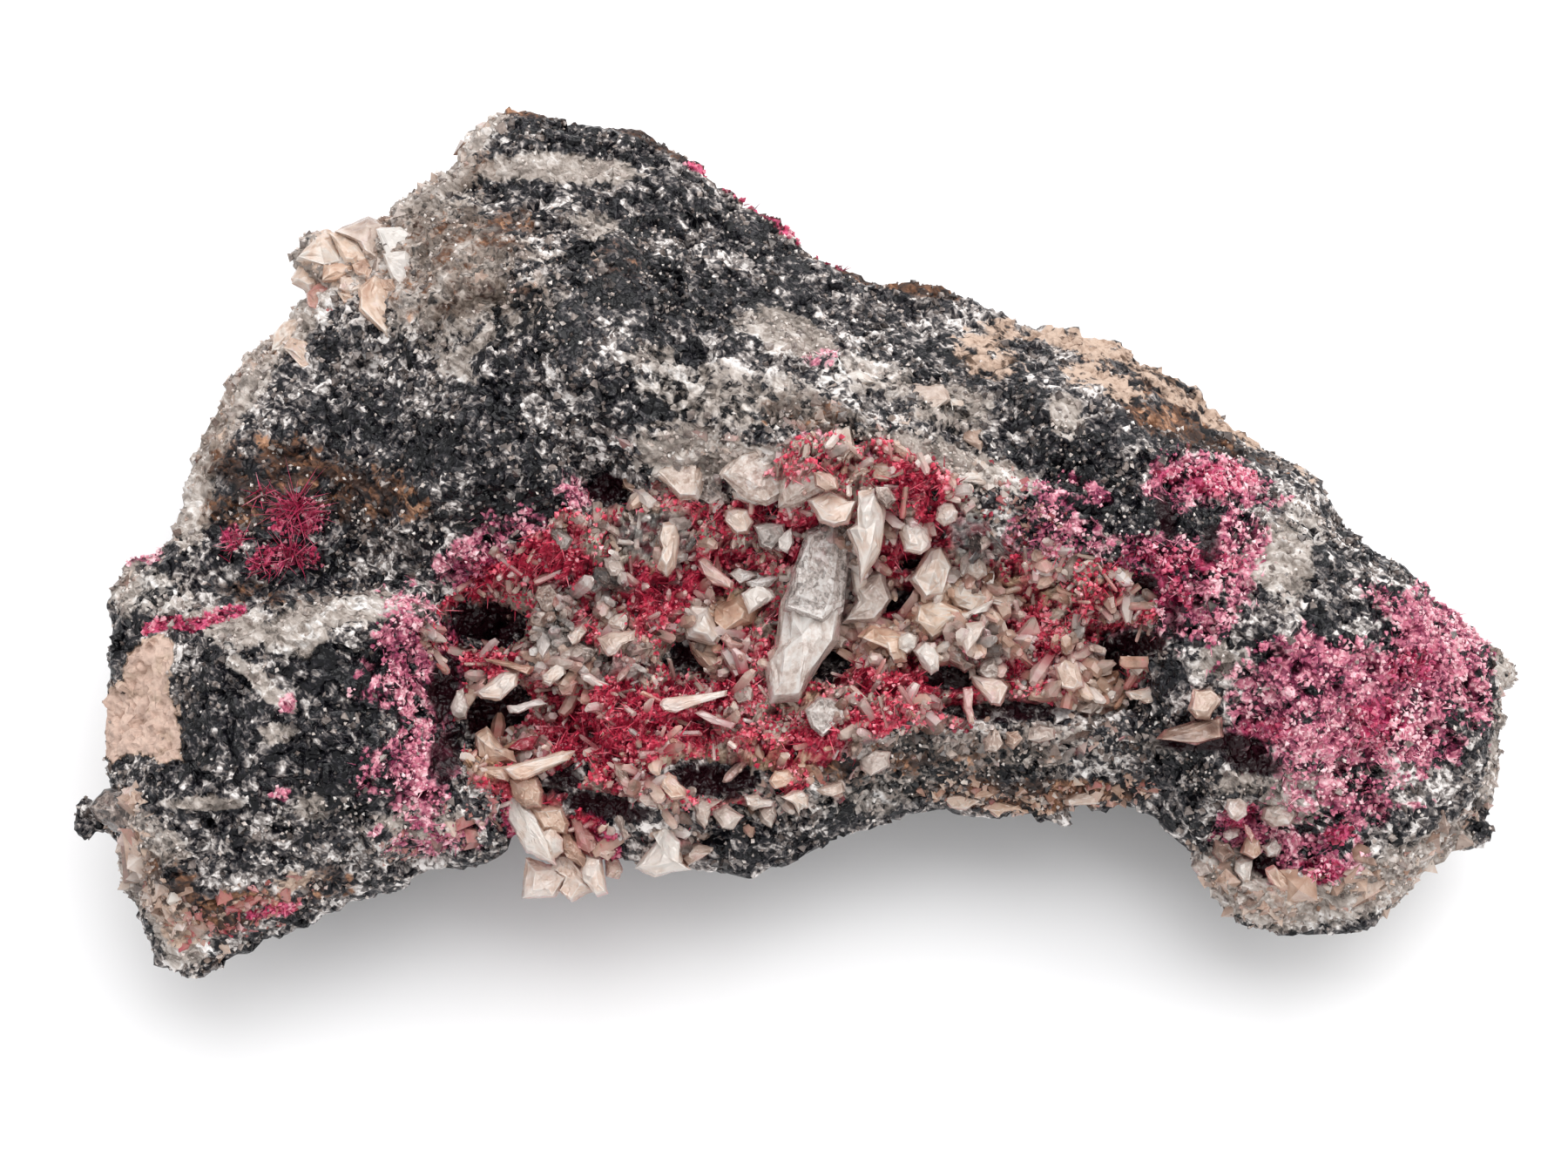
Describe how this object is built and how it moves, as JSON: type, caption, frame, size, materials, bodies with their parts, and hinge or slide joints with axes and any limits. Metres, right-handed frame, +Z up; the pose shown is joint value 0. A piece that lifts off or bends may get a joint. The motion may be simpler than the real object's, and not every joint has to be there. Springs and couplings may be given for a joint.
{
  "type": "erythrite specimen",
  "caption": "Flat, wing-shaped piece of dark vein rock with a long crystal-lined hollow in its upper face, quartz points at the front and crimson erythrite.",
  "frame": {"origin": "on the resting surface, under the middle of the specimen's box", "axes": "+X along the specimen, +Y to the back, +Z up"},
  "size_m": [0.0804, 0.0512, 0.0218],
  "materials": {
    "rock": "dark fine-grained rock with sugary quartz, stained tan and rose",
    "hollow_crust": "cream and grey quartz crystals over granular crimson erythrite",
    "quartz": "milky to clear quartz crystals",
    "erythrite": "glassy crimson needles",
    "pocket_crust": "rose-tinted quartz crystals"
  },
  "bodies": {
    "root": {"matrix_rock": "rock", "long_hollow_crystal_crust": "hollow_crust", "front_quartz_cluster": "quartz", "erythrite_needle_spray": "erythrite", "front_pocket_crystal_crust": "pocket_crust"}
  },
  "joints": []
}
